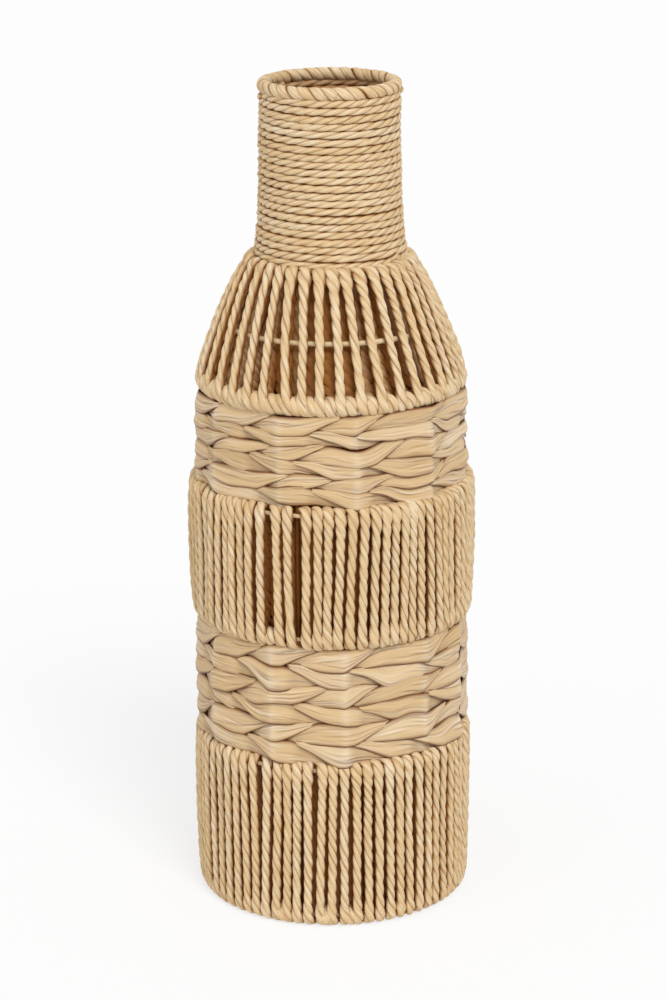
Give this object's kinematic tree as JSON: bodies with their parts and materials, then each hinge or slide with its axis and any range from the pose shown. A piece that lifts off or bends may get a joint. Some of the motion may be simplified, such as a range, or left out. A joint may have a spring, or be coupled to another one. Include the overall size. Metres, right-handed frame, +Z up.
{
  "type": "woven bottle vase",
  "caption": "Bottle-shaped vase with a round neck, laced cord walls and woven ribbon bands on a welded wire frame; stands on its base and holds dry stems.",
  "frame": {"origin": "centre of the circle that the vase stands on, at the undersides of the skirt's cords", "axes": "+Z up through the mouth, -Y towards the viewer of the picture, +X to the right"},
  "size_m": [0.1598, 0.1598, 0.4634],
  "materials": {
    "coated_wire": "straw-coloured coating, satin",
    "paper_cord": "twisted natural paper cord, matt",
    "paper_ribbon": "flat natural paper ribbon, matt"
  },
  "bodies": {
    "root": {"mouth_ring": "coated_wire", "neck_ring": "coated_wire", "shoulder_hoop": "coated_wire", "shoulder_ring": "coated_wire", "belly_top_ring": "coated_wire", "belly_bottom_ring": "coated_wire", "skirt_top_ring": "coated_wire", "base_ring": "coated_wire", "stay_01": "coated_wire", "stay_02": "coated_wire", "stay_03": "coated_wire", "stay_04": "coated_wire", "stay_05": "coated_wire", "stay_06": "coated_wire", "stay_07": "coated_wire", "stay_08": "coated_wire", "stay_09": "coated_wire", "stay_10": "coated_wire", "stay_11": "coated_wire", "stay_12": "coated_wire", "base_bar_lower": "coated_wire", "base_bar_upper": "coated_wire", "rim_lashing": "paper_cord", "neck_winding": "paper_cord", "shoulder_wrap": "paper_cord", "belly_wrap": "paper_cord", "skirt_wrap": "paper_cord", "upper_weave": "paper_ribbon", "lower_weave": "paper_ribbon"}
  },
  "joints": []
}
